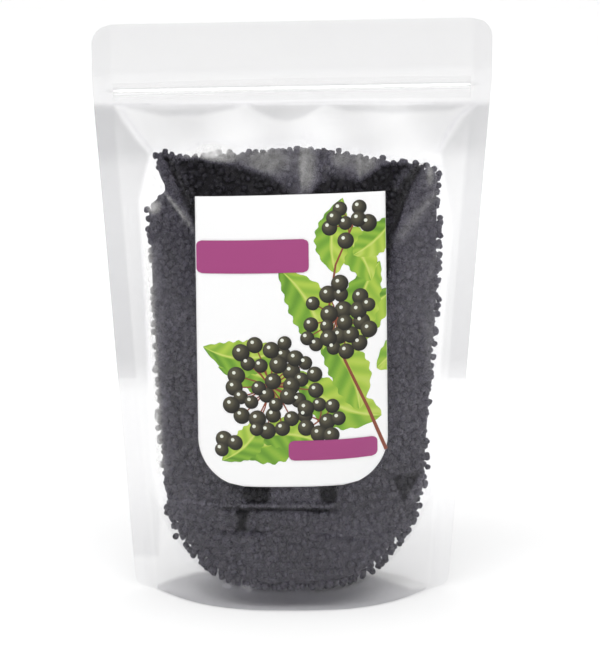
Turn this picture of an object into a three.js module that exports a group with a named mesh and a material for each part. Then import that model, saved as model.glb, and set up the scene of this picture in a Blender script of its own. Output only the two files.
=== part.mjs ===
// A clear stand-up pouch filled with dried elderberries. Millimetres, +Z up, the front faces -Y.
// Two film panels are welded down both sides, a folded bottom gusset opens into the base that
// the pouch stands on, a press-to-close zip crosses the mouth and a paper label is stuck on the front.
import * as THREE from "three";
import { mergeVertices } from "three/addons/utils/BufferGeometryUtils.js";

// Pouch as it stands, filled
const pouchHeight = 262;
const headerHalfWidth = 90.3;
const baseHalfWidth = 72.5;
const sideFlare = 0.0755; // half width gained per millimetre of height
const topCornerRadius = 9;
const footCornerRadius = 6;
const sideSeal = 8;
const film = 0.5; // laminate, thickened so that it stands as a solid
const layerGap = 0.3;
const topEdgeSlope = 0.019; // the mouth and the zip climb a little towards +X
const leanFrom = 20; // height at which that climb sets in

// Fullness of the body
const baseDepth = 43; // from the middle plane to the front or back of the base
const bulgeTop = 224.5; // the panels part below this height
const bulgeEase = 1.35;
const bulgePower = 0.59;
const crossEase = 2.8; // how square the pouch is across: 2 is a plain arch
const bodyHollow = 1.5; // above 1 the panels close to a thin wedge beside the side seals
const footHollow = 1; // at the foot the gusset holds the skirt open
const steepest = 2.3; // limit on how far a slanting wall is stepped along Y
const frontColumns = 24;
const backColumns = 20;

// Bottom gusset: its weld with each panel is a U, low in the middle and high at the sides
const skirtHeight = 8;
const gussetHeight = 47;
const weldPower = 3.4;
const gussetReach = 0.95; // share of the half width before the gusset runs into the side seal
const foldCrest = 2.5;
const gussetGap = 0.6; // clear of the panels' facets
const gussetColumns = 24;

// Zip, drawn as its cross-section: distances from its middle line, Y across and Z up
const zipHeight = 231;
const zipHalfLength = 81;
const tapeAbove = 5;
const tapeBelow = 4.8;
const tapeInner = 0.85;
const tapeOuter = 1.15;
const hookOuter = 1.45;
const hookInner = 1.05;
const hookTip = 0.35; // how far the hooks reach past the middle
const lipInner = 0.5; // half the opening between the hooks' lips
const stemHalf = 0.2;
const headHalf = 0.75;
const headBase = -0.3;
const headTip = -0.55;
const zipRoomHalf = 1.45;
const zipRoomFoot = 5; // heights over which the panels part below the tapes and close above them
const zipRoomHead = 6;
const zipRoomEnds = [1, 5]; // past the zip's ends, where they start to close and are closed

// Label
const labelHalfWidth = 42.8;
const labelLength = 132;
const labelRise = 129; // its height, less than its length because the film leans back
const labelFoot = 56.5;
const labelFootRadius = 20.5;
const labelHeadRadius = 1;
const labelTurn = 0.012;
const labelThickness = 0.3;
const labelGap = 0.55; // clear of the film's facets
const labelColumns = 14;

// Dried berries, drawn about twice life size as raised relief
const berryRelief = 2.1;
const fillClearance = 0.8;
const fillHeight = 203;
const fillTopSlope = -0.035; // the berries lie a little lower towards +X
const edgeThickness = 3.2; // half of it is about a berry, where the panels close on the fill
const fillDome = 1.2;
const leastFill = 0.4; // half thickness that the thinnest edge of the fill keeps
const reliefColumns = 54;
const reliefRowPitch = 4.2;
const berryStray = 0.3; // of a column, so that the net isn't ruled
const reliefStray = 0.2; // share of the relief by which crowns and hollows differ
const reliefSeed = 20261;
const wallRows = Math.round((fillHeight - skirtHeight) / reliefRowPitch);
const floorRows = Math.round((baseDepth - 4) / reliefRowPitch);
const topRows = 3;
const fillRows = floorRows + wallRows + topRows;

const smooth = (a, b, v) => THREE.MathUtils.smoothstep(v, a, b);
const power = (base, exponent) => Math.pow(Math.max(base, 0), exponent);

// Half width of the welded outline at a height, with its rounded corners.
function halfWidth(z) {
  const straight = Math.min(baseHalfWidth + sideFlare * z, headerHalfWidth);
  const overTop = Math.max(0, z - (pouchHeight - topCornerRadius));
  const underFoot = Math.max(0, footCornerRadius - z);
  const topCut = topCornerRadius - Math.sqrt(topCornerRadius ** 2 - overTop ** 2);
  const footCut = footCornerRadius - Math.sqrt(footCornerRadius ** 2 - underFoot ** 2);
  return straight - topCut - footCut;
}

// Half width inside the side seals, which the rounded corners don't change.
const openHalfWidth = (z) => Math.min(baseHalfWidth + sideFlare * z, headerHalfWidth) - sideSeal;

const bulge = (z) => baseDepth * power(1 - power(z / bulgeTop, bulgeEase), bulgePower);
const hollow = (z) => footHollow + (bodyHollow - footHollow) * smooth(0, gussetHeight, z);
const across = (t, z) => power(1 - Math.abs(t) ** crossEase, hollow(z));

// Room that the zip takes between the panels.
function zipRoom(x, z) {
  const foot = zipHeight - tapeBelow;
  const head = zipHeight + tapeAbove;
  const up = smooth(foot - zipRoomFoot, foot, z);
  const down = 1 - smooth(head, head + zipRoomHead, z);
  const side = 1 - smooth(...zipRoomEnds, Math.abs(x) - zipHalfLength);
  return (zipRoomHalf - layerGap / 2) * up * down * side;
}

// Creases of the front panel: [x, z] routes, each with its depth and half width. They fade out
// where the panels are nearly closed.
const creaseFade = [0.02, 0.3];
const creases = [
  { route: [[-64, 204], [-56, 190], [-51, 178]], depth: 2, spread: 7 },
  { route: [[66, 202], [57, 188], [52, 172]], depth: 2, spread: 7 },
  { route: [[-58, 41], [-25, 38], [25, 38], [52, 42]], depth: 1.1, spread: 4 },
  { route: [[-2, 222], [2, 205], [3, 190]], depth: -1.6, spread: 7 },
];

function distanceToRoute(x, z, route) {
  const point = new THREE.Vector3(x, 0, z);
  const closest = new THREE.Vector3();
  let least = Infinity;
  for (let i = 1; i < route.length; i += 1) {
    const start = new THREE.Vector3(route[i - 1][0], 0, route[i - 1][1]);
    const end = new THREE.Vector3(route[i][0], 0, route[i][1]);
    new THREE.Line3(start, end).closestPointToPoint(point, true, closest);
    least = Math.min(least, closest.distanceTo(point));
  }
  return least;
}

function creaseDepth(x, z) {
  let depth = 0;
  for (const crease of creases) {
    depth += crease.depth * Math.exp(-((distanceToRoute(x, z, crease.route) / crease.spread) ** 2));
  }
  return depth * smooth(...creaseFade, across(x / openHalfWidth(z), z));
}

// Distance from the middle plane to the inner face of a panel.
function panelDepth(x, z, isFront) {
  const depth = layerGap / 2 + zipRoom(x, z) + bulge(z) * across(x / openHalfWidth(z), z);
  return isFront ? depth - creaseDepth(x, z) : depth;
}

// How far to step along Y for a wall to keep its thickness where the panel slants.
function slantFactor(x, z, isFront) {
  const step = 0.5;
  const alongX = (panelDepth(x + step, z, isFront) - panelDepth(x - step, z, isFront)) / (2 * step);
  const alongZ = (panelDepth(x, z + step, isFront) - panelDepth(x, z - step, isFront)) / (2 * step);
  return Math.min(Math.sqrt(1 + alongX ** 2 + alongZ ** 2), steepest);
}

// Height after the pouch's slight lean: none at the foot, all of it from the zip up.
const leaned = (x, z) => z + topEdgeSlope * x * smooth(leanFrom, zipHeight - tapeBelow, z);

// A closed solid from two sheets of points: [row][column] of Vector3, outer and inner.
function solidBetween(outer, inner, facesOut) {
  const rows = outer.length;
  const columns = outer[0].length;
  const last = columns - 1;
  const points = [...outer.flat(), ...inner.flat()];
  const positions = points.flatMap((p) => [p.x, p.y, p.z]);
  const outerAt = (r, c) => r * columns + c;
  const innerAt = (r, c) => rows * columns + r * columns + c;
  const index = [];
  const quad = (a, b, c, d) => {
    if (facesOut) {
      index.push(a, b, c, a, c, d);
    } else {
      index.push(a, c, b, a, d, c);
    }
  };
  for (let r = 0; r < rows - 1; r += 1) {
    for (let c = 0; c < last; c += 1) {
      quad(outerAt(r, c), outerAt(r, c + 1), outerAt(r + 1, c + 1), outerAt(r + 1, c));
      quad(innerAt(r, c), innerAt(r + 1, c), innerAt(r + 1, c + 1), innerAt(r, c + 1));
    }
  }
  for (let c = 0; c < last; c += 1) {
    quad(outerAt(0, c), innerAt(0, c), innerAt(0, c + 1), outerAt(0, c + 1));
    quad(outerAt(rows - 1, c), outerAt(rows - 1, c + 1), innerAt(rows - 1, c + 1), innerAt(rows - 1, c));
  }
  for (let r = 0; r < rows - 1; r += 1) {
    quad(outerAt(r, 0), outerAt(r + 1, 0), innerAt(r + 1, 0), innerAt(r, 0));
    quad(outerAt(r, last), innerAt(r, last), innerAt(r + 1, last), outerAt(r + 1, last));
  }
  const geometry = new THREE.BufferGeometry();
  geometry.setAttribute("position", new THREE.Float32BufferAttribute(positions, 3));
  geometry.setIndex(index);
  return geometry;
}

// Front and back film panels, from the foot of the skirt to the mouth
function panelGeometry(isFront, heights, columns) {
  const side = isFront ? -1 : 1;
  const sheet = (extra) =>
    heights.map((z) =>
      Array.from({ length: columns + 1 }, (_, c) => {
        const x = halfWidth(z) * ((2 * c) / columns - 1);
        const y = panelDepth(x, z, isFront) + extra * slantFactor(x, z, isFront);
        return new THREE.Vector3(x, side * y, leaned(x, z));
      }),
    );
  return solidBetween(sheet(film), sheet(0), isFront);
}

const cornerHeights = [9, 6, 3, 1.2, 0].map((below) => pouchHeight - below);
const zipBandHeights = [215, 220.5, 225.8, 229, 236, 242];
const footHeights = [0, 2.5, 6];
const frontBody = [14, 24, 31, 38, 45, 54, 66, 80, 95, 110, 126, 142, 156, 167, 177, 186, 195, 203, 209];
const backBody = [20, 40, 62, 86, 110, 134, 156, 176, 194, 207];
const frontHeights = [...footHeights, ...frontBody, ...zipBandHeights, ...cornerHeights];
const backHeights = [...footHeights, ...backBody, ...zipBandHeights, ...cornerHeights];

// Bottom gusset: a lip against each panel, and between them the floor of the pouch
const weldHeight = (t) => skirtHeight + (gussetHeight - skirtHeight) * power(Math.abs(t), weldPower);

function gussetGeometry(columns) {
  const lipSteps = [0, 0.5, 1];
  const floorSteps = [0.75, 0.5, 0.25, 0, -0.25, -0.5, -0.75];
  const ringPoint = (t, side, share, floorShare, inset) => {
    const weld = weldHeight(t);
    const z = share < 1 ? layerGap + share * (weld - inset - layerGap) : weld - inset;
    const x = t * openHalfWidth(z);
    const reach = panelDepth(x, z, true) + creaseDepth(x, z) - (gussetGap + inset) * slantFactor(x, z, false);
    const dip = side < 0 ? creaseDepth(x, z) : 0;
    const crest = share < 1 ? 0 : foldCrest * (1 - Math.abs(floorShare));
    return new THREE.Vector3(x, side * (reach - dip) * Math.abs(floorShare), leaned(x, z) + crest);
  };
  const sheet = (inset) =>
    Array.from({ length: columns + 1 }, (_, c) => {
      const t = gussetReach * ((2 * c) / columns - 1);
      return [
        ...lipSteps.map((share) => ringPoint(t, -1, share, 1, inset)),
        ...floorSteps.map((f) => ringPoint(t, f > 0 ? -1 : 1, 1, f, inset)),
        ...lipSteps.toReversed().map((share) => ringPoint(t, 1, share, 1, inset)),
      ];
    });
  return solidBetween(sheet(0), sheet(film), false);
}

// Zip halves: a hooked channel on the front panel and an arrow on the back one
function zipStrip(outline) {
  const shape = new THREE.Shape(outline.map(([y, z]) => new THREE.Vector2(y, z)));
  const geometry = new THREE.ExtrudeGeometry(shape, { depth: 2 * zipHalfLength, bevelEnabled: false });
  // The shape's axes become Y and Z, and its depth runs along X.
  geometry.applyMatrix4(new THREE.Matrix4().set(0, 0, 1, -zipHalfLength, 1, 0, 0, 0, 0, 1, 0, 0, 0, 0, 0, 1));
  return geometry;
}

const channelOutline = [
  [-tapeOuter, -tapeBelow],
  [-tapeInner, -tapeBelow],
  [-tapeInner, -hookOuter],
  [hookTip, -hookOuter],
  [hookTip, -lipInner],
  [0, -lipInner],
  [0, -hookInner],
  [-tapeInner, -hookInner],
  [-tapeInner, hookInner],
  [0, hookInner],
  [0, lipInner],
  [hookTip, lipInner],
  [hookTip, hookOuter],
  [-tapeInner, hookOuter],
  [-tapeInner, tapeAbove],
  [-tapeOuter, tapeAbove],
];
const arrowOutline = [
  [tapeOuter, -tapeBelow],
  [tapeOuter, tapeAbove],
  [tapeInner, tapeAbove],
  [tapeInner, stemHalf],
  [headBase, stemHalf],
  [headBase, headHalf],
  [headTip, stemHalf],
  [headTip, -stemHalf],
  [headBase, -headHalf],
  [headBase, -stemHalf],
  [tapeInner, -stemHalf],
  [tapeInner, -tapeBelow],
];

// Front label: a rectangle with wide round corners at its foot, wrapped on the panel
function labelGeometry(columns) {
  const rises = [0, 1.2, 4, 9, 20.5, 32, 44, 56, 68, 80, 92, 104, 116, 126, 131, 132];
  const cut = (radius, from) => radius - Math.sqrt(radius ** 2 - Math.max(0, radius - from) ** 2);
  const sheet = (extra) =>
    rises.map((rise) =>
      Array.from({ length: columns + 1 }, (_, c) => {
        const half = labelHalfWidth - cut(labelFootRadius, rise) - cut(labelHeadRadius, labelLength - rise);
        const flatX = half * ((2 * c) / columns - 1);
        const x = flatX + labelTurn * (labelLength / 2 - rise);
        const z = labelFoot + (rise * labelRise) / labelLength + labelTurn * flatX;
        const y = panelDepth(x, z, true) + (film + labelGap + extra) * slantFactor(x, z, true);
        return new THREE.Vector3(x, -y, leaned(x, z));
      }),
    );
  return solidBetween(sheet(labelThickness), sheet(0), true);
}

// Fill: rings of points start from a seam on the floor of the pouch, climb its walls and close in
// a seam on top. One point in three of their triangular net is a berry's crown, the others are the
// hollows round it. The count of rows is even and of columns a multiple of six, so the seams close.
function seededRandom(seed) {
  let state = seed;
  return () => {
    state = (state * 16807) % 2147483647;
    return state / 2147483647;
  };
}

// Share of the open half width at which the pouch is only as thick as the edge of the fill.
function fillEdge(z) {
  const share = Math.min(1, edgeThickness / Math.max(bulge(z), edgeThickness));
  return (1 - share ** (1 / hollow(z))) ** (1 / crossEase);
}

function fillPoint(row, turn, inset) {
  const isFront = turn < 1;
  const t = isFront ? 2 * turn - 1 : 3 - 2 * turn;
  const floorShare = Math.min(row / floorRows, 1);
  const climb = THREE.MathUtils.clamp((row - floorRows) / wallRows, 0, 1);
  const topShare = Math.min((fillRows - row) / topRows, 1);
  const floor = weldHeight(t) + foldCrest * (1 - floorShare) + fillClearance + inset;
  const crown = fillHeight + fillTopSlope * t * openHalfWidth(fillHeight) - inset;
  const z = floor + (crown - floor) * climb;
  const x = t * (fillEdge(z) * openHalfWidth(z) - inset);
  const clearance = fillClearance * slantFactor(x, z, isFront);
  const room = Math.max(panelDepth(x, z, isFront) - clearance - inset, leastFill);
  const y = room * floorShare * topShare;
  return new THREE.Vector3(x, isFront ? -y : y, leaned(x, z + fillDome * (1 - topShare)));
}

function fillGeometry() {
  const random = seededRandom(reliefSeed);
  const rings = [];
  for (let row = 0; row <= fillRows; row += 1) {
    const ring = [];
    for (let column = 0; column < reliefColumns; column += 1) {
      const isSeam = row === 0 || row === fillRows;
      const isCrown = (column - Math.floor(row / 2) - row + 3 * fillRows) % 3 === 0;
      const stray = isSeam ? 0 : berryStray * (random() - 0.5);
      const stir = reliefStray * random();
      const sunk = berryRelief * (isCrown ? stir : 1 - reliefStray + stir);
      const turn = ((column + 0.5 * (row % 2) + stray) * 2) / reliefColumns;
      ring.push(fillPoint(row, turn, isSeam ? berryRelief / 2 : sunk));
    }
    rings.push(ring);
  }

  const positions = rings.flat().flatMap((p) => [p.x, p.y, p.z]);
  const at = (row, column) => row * reliefColumns + ((column + reliefColumns) % reliefColumns);
  const index = [];
  for (let row = 0; row < fillRows; row += 1) {
    const shift = row % 2;
    for (let column = 0; column < reliefColumns; column += 1) {
      index.push(at(row, column), at(row, column + 1), at(row + 1, column + shift));
      index.push(at(row + 1, column + shift), at(row + 1, column + shift - 1), at(row, column));
    }
  }
  const geometry = new THREE.BufferGeometry();
  geometry.setAttribute("position", new THREE.Float32BufferAttribute(positions, 3));
  geometry.setIndex(index);
  return mergeVertices(geometry, 1e-3);
}

// Materials and assembly
const clearFilm = new THREE.MeshStandardMaterial({
  color: "#eef0f1",
  roughness: 0.12,
  metalness: 0,
  transparent: true,
  opacity: 0.28,
});
const zipPlastic = new THREE.MeshStandardMaterial({ color: "#f4f5f5", roughness: 0.3, metalness: 0 });
const labelPaper = new THREE.MeshStandardMaterial({ color: "#fafafa", roughness: 0.45, metalness: 0 });
const driedBerry = new THREE.MeshStandardMaterial({ color: "#2b2730", roughness: 0.7, metalness: 0 });

const pouch = new THREE.Group();

function addPiece(name, geometry, material) {
  const mesh = new THREE.Mesh(geometry, material);
  mesh.name = name;
  pouch.add(mesh);
  return mesh;
}

addPiece("front_panel", panelGeometry(true, frontHeights, frontColumns), clearFilm);
addPiece("back_panel", panelGeometry(false, backHeights, backColumns), clearFilm);
addPiece("bottom_gusset", gussetGeometry(gussetColumns), clearFilm);

for (const [name, outline] of [["zip_channel", channelOutline], ["zip_arrow", arrowOutline]]) {
  const strip = addPiece(name, zipStrip(outline), zipPlastic);
  strip.position.z = zipHeight;
  strip.rotation.y = -Math.atan(topEdgeSlope);
}

addPiece("front_label", labelGeometry(labelColumns), labelPaper);
addPiece("dried_berries", fillGeometry(), driedBerry);

export default pouch;
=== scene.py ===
"""A clear stand-up pouch of dried elderberries: looks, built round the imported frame.

Shapes are worked out in millimetres and set down in metres. The front faces -Y and Z is up.
"""
import math
import random

import bmesh
import bpy
import numpy as np
from mathutils import Euler, Matrix, Vector


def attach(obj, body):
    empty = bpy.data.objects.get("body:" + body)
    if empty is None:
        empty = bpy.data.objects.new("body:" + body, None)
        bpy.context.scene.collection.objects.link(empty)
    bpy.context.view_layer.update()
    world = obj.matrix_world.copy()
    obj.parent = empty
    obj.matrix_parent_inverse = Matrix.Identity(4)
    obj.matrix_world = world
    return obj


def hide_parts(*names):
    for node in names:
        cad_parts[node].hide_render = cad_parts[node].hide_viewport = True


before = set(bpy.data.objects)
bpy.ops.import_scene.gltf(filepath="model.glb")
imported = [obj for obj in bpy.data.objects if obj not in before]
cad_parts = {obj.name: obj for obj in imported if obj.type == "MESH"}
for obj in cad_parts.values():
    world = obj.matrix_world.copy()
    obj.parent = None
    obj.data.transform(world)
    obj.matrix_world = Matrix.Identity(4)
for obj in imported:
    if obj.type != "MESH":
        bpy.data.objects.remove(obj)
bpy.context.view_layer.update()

MM = 0.001

# Camera
# A product shot from a little above the middle of the pouch, straight at the labelled front.
# The lens is long, so the sides hardly converge.
PHOTO_WIDTH = 600
PHOTO_HEIGHT = 660
FOCAL_PIXELS = 2617.6
SENSOR = 36
CAMERA_ELEVATION = math.radians(9)
CAMERA_DISTANCE = 1.2
CAMERA_TARGET = Vector((3.67, 0, 121.2)) * MM
CLEAR_FACES = 24  # that light may pass on its way through the two panels, the gusset and the zip


def add_object(name, data):
    thing = bpy.data.objects.new(name, data)
    bpy.context.scene.collection.objects.link(thing)
    return thing


lens = bpy.data.cameras.new("camera")
lens.lens = FOCAL_PIXELS * SENSOR / PHOTO_HEIGHT
lens.sensor_width = SENSOR
lens.clip_end = 50
camera = add_object("camera", lens)
towards_camera = Vector((0, -math.cos(CAMERA_ELEVATION), math.sin(CAMERA_ELEVATION)))
camera.location = CAMERA_TARGET + towards_camera * CAMERA_DISTANCE
camera.rotation_euler = towards_camera.to_track_quat("Z", "Y").to_euler()
bpy.context.scene.camera = camera
bpy.context.scene.view_settings.view_transform = "Standard"
bpy.context.scene.cycles.transparent_max_bounces = CLEAR_FACES

# Floor and backdrop
# One sweep of white paper that runs flat under the pouch and curves up far behind it.
SWEEP_HALF_WIDTH = 8.0
SWEEP_FRONT = -8.0
SWEEP_BACK = 3.0
SWEEP_CURVE = 1.2
SWEEP_CURVE_STEPS = 24
SWEEP_HEIGHT = 3.0


def linear(hex_colour):
    """An sRGB hex colour as linear red, green and blue, and an alpha of 1."""
    parts = [int(hex_colour[i:i + 2], 16) / 255 for i in (1, 3, 5)]
    return [c / 12.92 if c <= 0.04045 else ((c + 0.055) / 1.055) ** 2.4 for c in parts] + [1.0]


def add_node(material, kind, inputs=None, **settings):
    """Add a node with its settings; an input given a socket is linked, any other is set."""
    tree = material.node_tree
    node = tree.nodes.new(kind)
    for name, value in settings.items():
        setattr(node, name, value)
    for name, value in (inputs or {}).items():
        if isinstance(value, bpy.types.NodeSocket):
            tree.links.new(value, node.inputs[name])
        else:
            node.inputs[name].default_value = value
    return node


def new_material(name):
    material = bpy.data.materials.new(name)
    material.use_nodes = True
    material.node_tree.nodes.clear()
    return material


def finish_material(material, shader):
    add_node(material, "ShaderNodeOutputMaterial", {"Surface": shader})
    return material


def backdrop_paper():
    """Matt white background paper: nothing but diffuse, so it goes evenly white."""
    paper = new_material("backdrop_paper")
    matt = add_node(paper, "ShaderNodeBsdfDiffuse", {"Color": linear("#fdfdfd"), "Roughness": 0.5})
    return finish_material(paper, matt.outputs[0])


def as_mesh(name, shape):
    """Turn a bmesh into a mesh and free it."""
    mesh = bpy.data.meshes.new(name)
    shape.to_mesh(mesh)
    shape.free()
    return mesh


sweep = bmesh.new()
corners = [sweep.verts.new((-SWEEP_HALF_WIDTH, y, 0)) for y in (SWEEP_FRONT, SWEEP_BACK)]
bmesh.ops.extrude_edge_only(sweep, edges=[sweep.edges.new(corners)])
for vert in list(sweep.verts)[2:]:
    vert.co.x = SWEEP_HALF_WIDTH
back_edge = next(e for e in sweep.edges if all(v.co.y > 0 for v in e.verts))
bmesh.ops.spin(
    sweep, geom=[back_edge, *back_edge.verts], cent=(0, SWEEP_BACK, SWEEP_CURVE), axis=(1, 0, 0),
    angle=math.radians(90), steps=SWEEP_CURVE_STEPS,
)
top_edge = max(sweep.edges, key=lambda e: sum(v.co.z for v in e.verts))
risen = bmesh.ops.extrude_edge_only(sweep, edges=[top_edge])["geom"]
for vert in risen:
    if isinstance(vert, bmesh.types.BMVert):
        vert.co.z = SWEEP_HEIGHT
bmesh.ops.recalc_face_normals(sweep, faces=sweep.faces)
sweep_mesh = as_mesh("backdrop", sweep)
sweep_mesh.shade_smooth()
sweep_mesh.materials.append(backdrop_paper())
add_object("backdrop", sweep_mesh)

# Lights
# A bright white room with a dark cloth round the camera, and three wide soft boxes: one whitens
# the backdrop, one behind the pouch lights the foot of the film, and one high in front lays its
# glare on the shoulder and the zip.
ROOM_WHITE = 1.0
ROOM_FLAG = 0.22  # the dark cloth round the camera, which the film mirrors
FLAG_SIDES = (0.25, -0.15)  # along Y, where the cloth sets in and where it is fully dark
FLAG_HEAD = (0.72, 0.4)  # the same along Z
room = bpy.data.worlds.new("white_room")
room.use_nodes = True
sky = room.node_tree.nodes["Background"]
sky.inputs["Strength"].default_value = 1
around = add_node(room, "ShaderNodeTexCoord").outputs["Generated"]
way = add_node(room, "ShaderNodeSeparateXYZ", {0: around})
ahead, low = (
    add_node(
        room, "ShaderNodeMapRange", {"Value": way.outputs[axis], "From Min": start, "From Max": full},
        interpolation_type="SMOOTHSTEP",
    )
    for axis, (start, full) in (("Y", FLAG_SIDES), ("Z", FLAG_HEAD))
)
flag = add_node(room, "ShaderNodeMath", {0: ahead.outputs[0], 1: low.outputs[0]}, operation="MULTIPLY")
level = add_node(
    room, "ShaderNodeMapRange", {"Value": flag.outputs[0], "To Min": ROOM_WHITE, "To Max": ROOM_FLAG},
)
room.node_tree.links.new(level.outputs[0], sky.inputs["Color"])
bpy.context.scene.world = room


def add_soft_box(name, place, aim, width, height, watts):
    light = bpy.data.lights.new(name, "AREA")
    light.shape = "RECTANGLE"
    light.size = width
    light.size_y = height
    light.energy = watts
    box = add_object(name, light)
    box.location = place
    box.rotation_euler = (Vector(place) - Vector(aim)).to_track_quat("Z", "Y").to_euler()


add_soft_box("backdrop_box", (0, 1.4, 2.6), (0, 3.9, 1.0), width=3.0, height=0.8, watts=34)
add_soft_box("rear_box", (0, 1.6, 1.3), (0, 0.12, 0), width=2.4, height=0.6, watts=8)
add_soft_box("overhead_box", (-0.2, -1.15, 1.6), (0, 0, 0.12), width=2.6, height=0.9, watts=15)

# Front film panel
# The labelled side of the pouch: a clear laminate a tenth of a millimetre thick, cut from a flat
# web, welded to the back down both sides and pushed out by the filling. Where the full part meets
# the flat mouth it is folded, and where berries press it hard it clings to them and looks darker.
POUCH_HEIGHT = 262
HEADER_HALF_WIDTH = 90.3
BASE_HALF_WIDTH = 72.5
SIDE_FLARE = 0.0755  # half width gained per millimetre of height
TOP_CORNER_RADIUS = 9
FOOT_CORNER_RADIUS = 6
SIDE_SEAL = 8
BASE_DEPTH = 43
BULGE_TOP = 224.5  # the panels part below this height
BULGE_EASE = 1.35
BULGE_POWER = 0.59
CROSS_EASE = 2.8  # how square the pouch is across: 2 is a plain arch
BODY_HOLLOW = 0.5  # above the foot the panels close to a thin wedge beside the side welds
GUSSET_HEIGHT = 47
SKIRT_HEIGHT = 8
WELD_POWER = 3.4
ZIP_HEIGHT = 231
ZIP_HALF_LENGTH = 81
ZIP_BELOW = 4.8
ZIP_ABOVE = 5
ZIP_ROOM = 1.3
ZIP_ROOM_FOOT = 5  # heights over which the panels part below the tapes and close above them
ZIP_ROOM_HEAD = 6
ZIP_ROOM_ENDS = (1, 5)  # past the zip's ends, where they start to close and are closed
RAIL_RIDGE = 0.8
RAIL_RISE = 0.4  # of the ridge over the zip's rail, from the zip's middle
RAIL_ENDS = (-4, 5)
PANEL_GAP = 0.15
TOP_EDGE_SLOPE = 0.019  # the mouth and the zip climb a little towards +X
LEAN_FROM = 20  # height at which that climb sets in
SLACK_WAVE = 24  # length of the loose film's waves
SLACK_ON_FILL = 0.05
SLACK_OFF_FILL = 0.22
FRONT_GRID = (190, 250)
FILM_OUTSIDE = 0.4  # from the inner face of the frame's thicker wall to the film's outer face
FILM_THICKNESS = 0.25
LABEL_HALF_WIDTH = 42.8
LABEL_FOOT = 56.5
LABEL_HEAD = 185.5
BERRY_RADIUS = 1.68
FILL_EDGE_DEPTH = 3.2

# The next outlines and routes are pixels of the photo: x from its left, y from its top.
FILL_OUTLINE = [
    (150, 150), (158, 147), (180, 150), (205, 152), (222, 147), (262, 144), (303, 142), (345, 147),
    (385, 155), (405, 158), (425, 161), (441, 163), (444, 172), (442, 195), (449, 229), (447, 262),
    (448, 278), (444, 302), (438, 364), (436, 404), (433, 425), (434, 455), (432, 488), (427, 505),
    (422, 515), (415, 534), (403, 543), (391, 555), (367, 576), (348, 584), (330, 589), (294, 594),
    (250, 591), (224, 585), (197, 571), (182, 561), (173, 544), (167, 525), (163, 500), (156, 471),
    (154, 440), (152, 404), (150, 364), (148, 302), (147, 272), (144, 241), (141, 207), (147, 199),
    (160, 193), (157, 180), (153, 165),
]
# Folds: route, depth in millimetres, half width in pixels
FRONT_FOLDS = [
    ([(160, 148), (174, 176), (184, 197), (193, 220), (196, 240)], 0.9, 5.0),
    ([(152, 172), (162, 190), (173, 203), (181, 212), (194, 231)], -0.6, 4.0),
    ([(163, 194), (173, 208), (185, 225), (194, 236)], 0.3, 2.2),
    ([(427, 160), (418, 175), (411, 189), (405, 204), (400, 219), (393, 246), (389, 268)], 0.9, 5.0),
    ([(415, 163), (402, 177), (396, 187)], -0.5, 3.5),
    ([(438, 158), (429, 172), (423, 184)], -0.7, 2.8),
    ([(431, 196), (417, 211), (406, 227), (397, 237)], -0.6, 4.5),
    ([(441, 240), (434, 261), (430, 278), (427, 320)], -0.5, 4.0),
    ([(224, 508), (337, 509)], 0.3, 3.0),
    ([(160, 500), (228, 506), (333, 506)], -0.25, 3.0),
    ([(165, 523), (202, 527), (236, 531), (262, 531)], 0.25, 3.0),
    ([(324, 533), (380, 540), (402, 539)], 0.2, 3.0),
    ([(393, 474), (404, 502)], 0.35, 3.0),
    ([(421, 474), (404, 502)], 0.35, 3.0),
    ([(404, 502), (411, 514), (416, 524)], 0.3, 3.0),
    ([(112, 104), (136, 132), (150, 152)], -0.9, 5.0),
    ([(116, 104), (126, 128), (134, 158)], 0.7, 5.0),
    ([(474, 104), (452, 128), (434, 154)], -0.9, 5.0),
    ([(472, 108), (458, 132), (448, 160)], 0.7, 5.0),
    ([(240, 106), (243, 118), (236, 140)], -0.3, 4.0),
    ([(323, 104), (321, 118), (318, 140)], -0.3, 4.0),
    ([(328, 149), (328, 166)], 0.4, 1.8),
    ([(302, 144), (303, 190)], -0.4, 2.0),
    ([(359, 150), (360, 178)], -0.4, 2.0),
]


def smooth(low, high, value):
    share = np.clip((value - low) / (high - low), 0, 1)
    return share * share * (3 - 2 * share)


def half_width(z):
    """Half the width of the welded outline at a height, with its rounded corners."""
    over_top = np.maximum(0, z - (POUCH_HEIGHT - TOP_CORNER_RADIUS))
    under_foot = np.maximum(0, FOOT_CORNER_RADIUS - z)
    top_cut = TOP_CORNER_RADIUS - np.sqrt(TOP_CORNER_RADIUS ** 2 - over_top ** 2)
    foot_cut = FOOT_CORNER_RADIUS - np.sqrt(FOOT_CORNER_RADIUS ** 2 - under_foot ** 2)
    return np.minimum(BASE_HALF_WIDTH + SIDE_FLARE * z, HEADER_HALF_WIDTH) - top_cut - foot_cut


def open_half_width(z):
    return np.minimum(BASE_HALF_WIDTH + SIDE_FLARE * z, HEADER_HALF_WIDTH) - SIDE_SEAL


def hollow(z):
    return 1 + BODY_HOLLOW * smooth(0, GUSSET_HEIGHT, z)


def bulge(z):
    return BASE_DEPTH * np.maximum(1 - np.maximum(z / BULGE_TOP, 0) ** BULGE_EASE, 0) ** BULGE_POWER


def plain_depth(x, z):
    """From the middle plane to the inner face of a panel, before any fold."""
    up = smooth(ZIP_HEIGHT - ZIP_BELOW - ZIP_ROOM_FOOT, ZIP_HEIGHT - ZIP_BELOW, z)
    down = 1 - smooth(ZIP_HEIGHT + ZIP_ABOVE, ZIP_HEIGHT + ZIP_ABOVE + ZIP_ROOM_HEAD, z)
    side = 1 - smooth(*ZIP_ROOM_ENDS, np.abs(x) - ZIP_HALF_LENGTH)
    across = np.maximum(1 - np.abs(x / open_half_width(z)) ** CROSS_EASE, 0) ** hollow(z)
    return PANEL_GAP + ZIP_ROOM * up * down * side + bulge(z) * across


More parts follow.
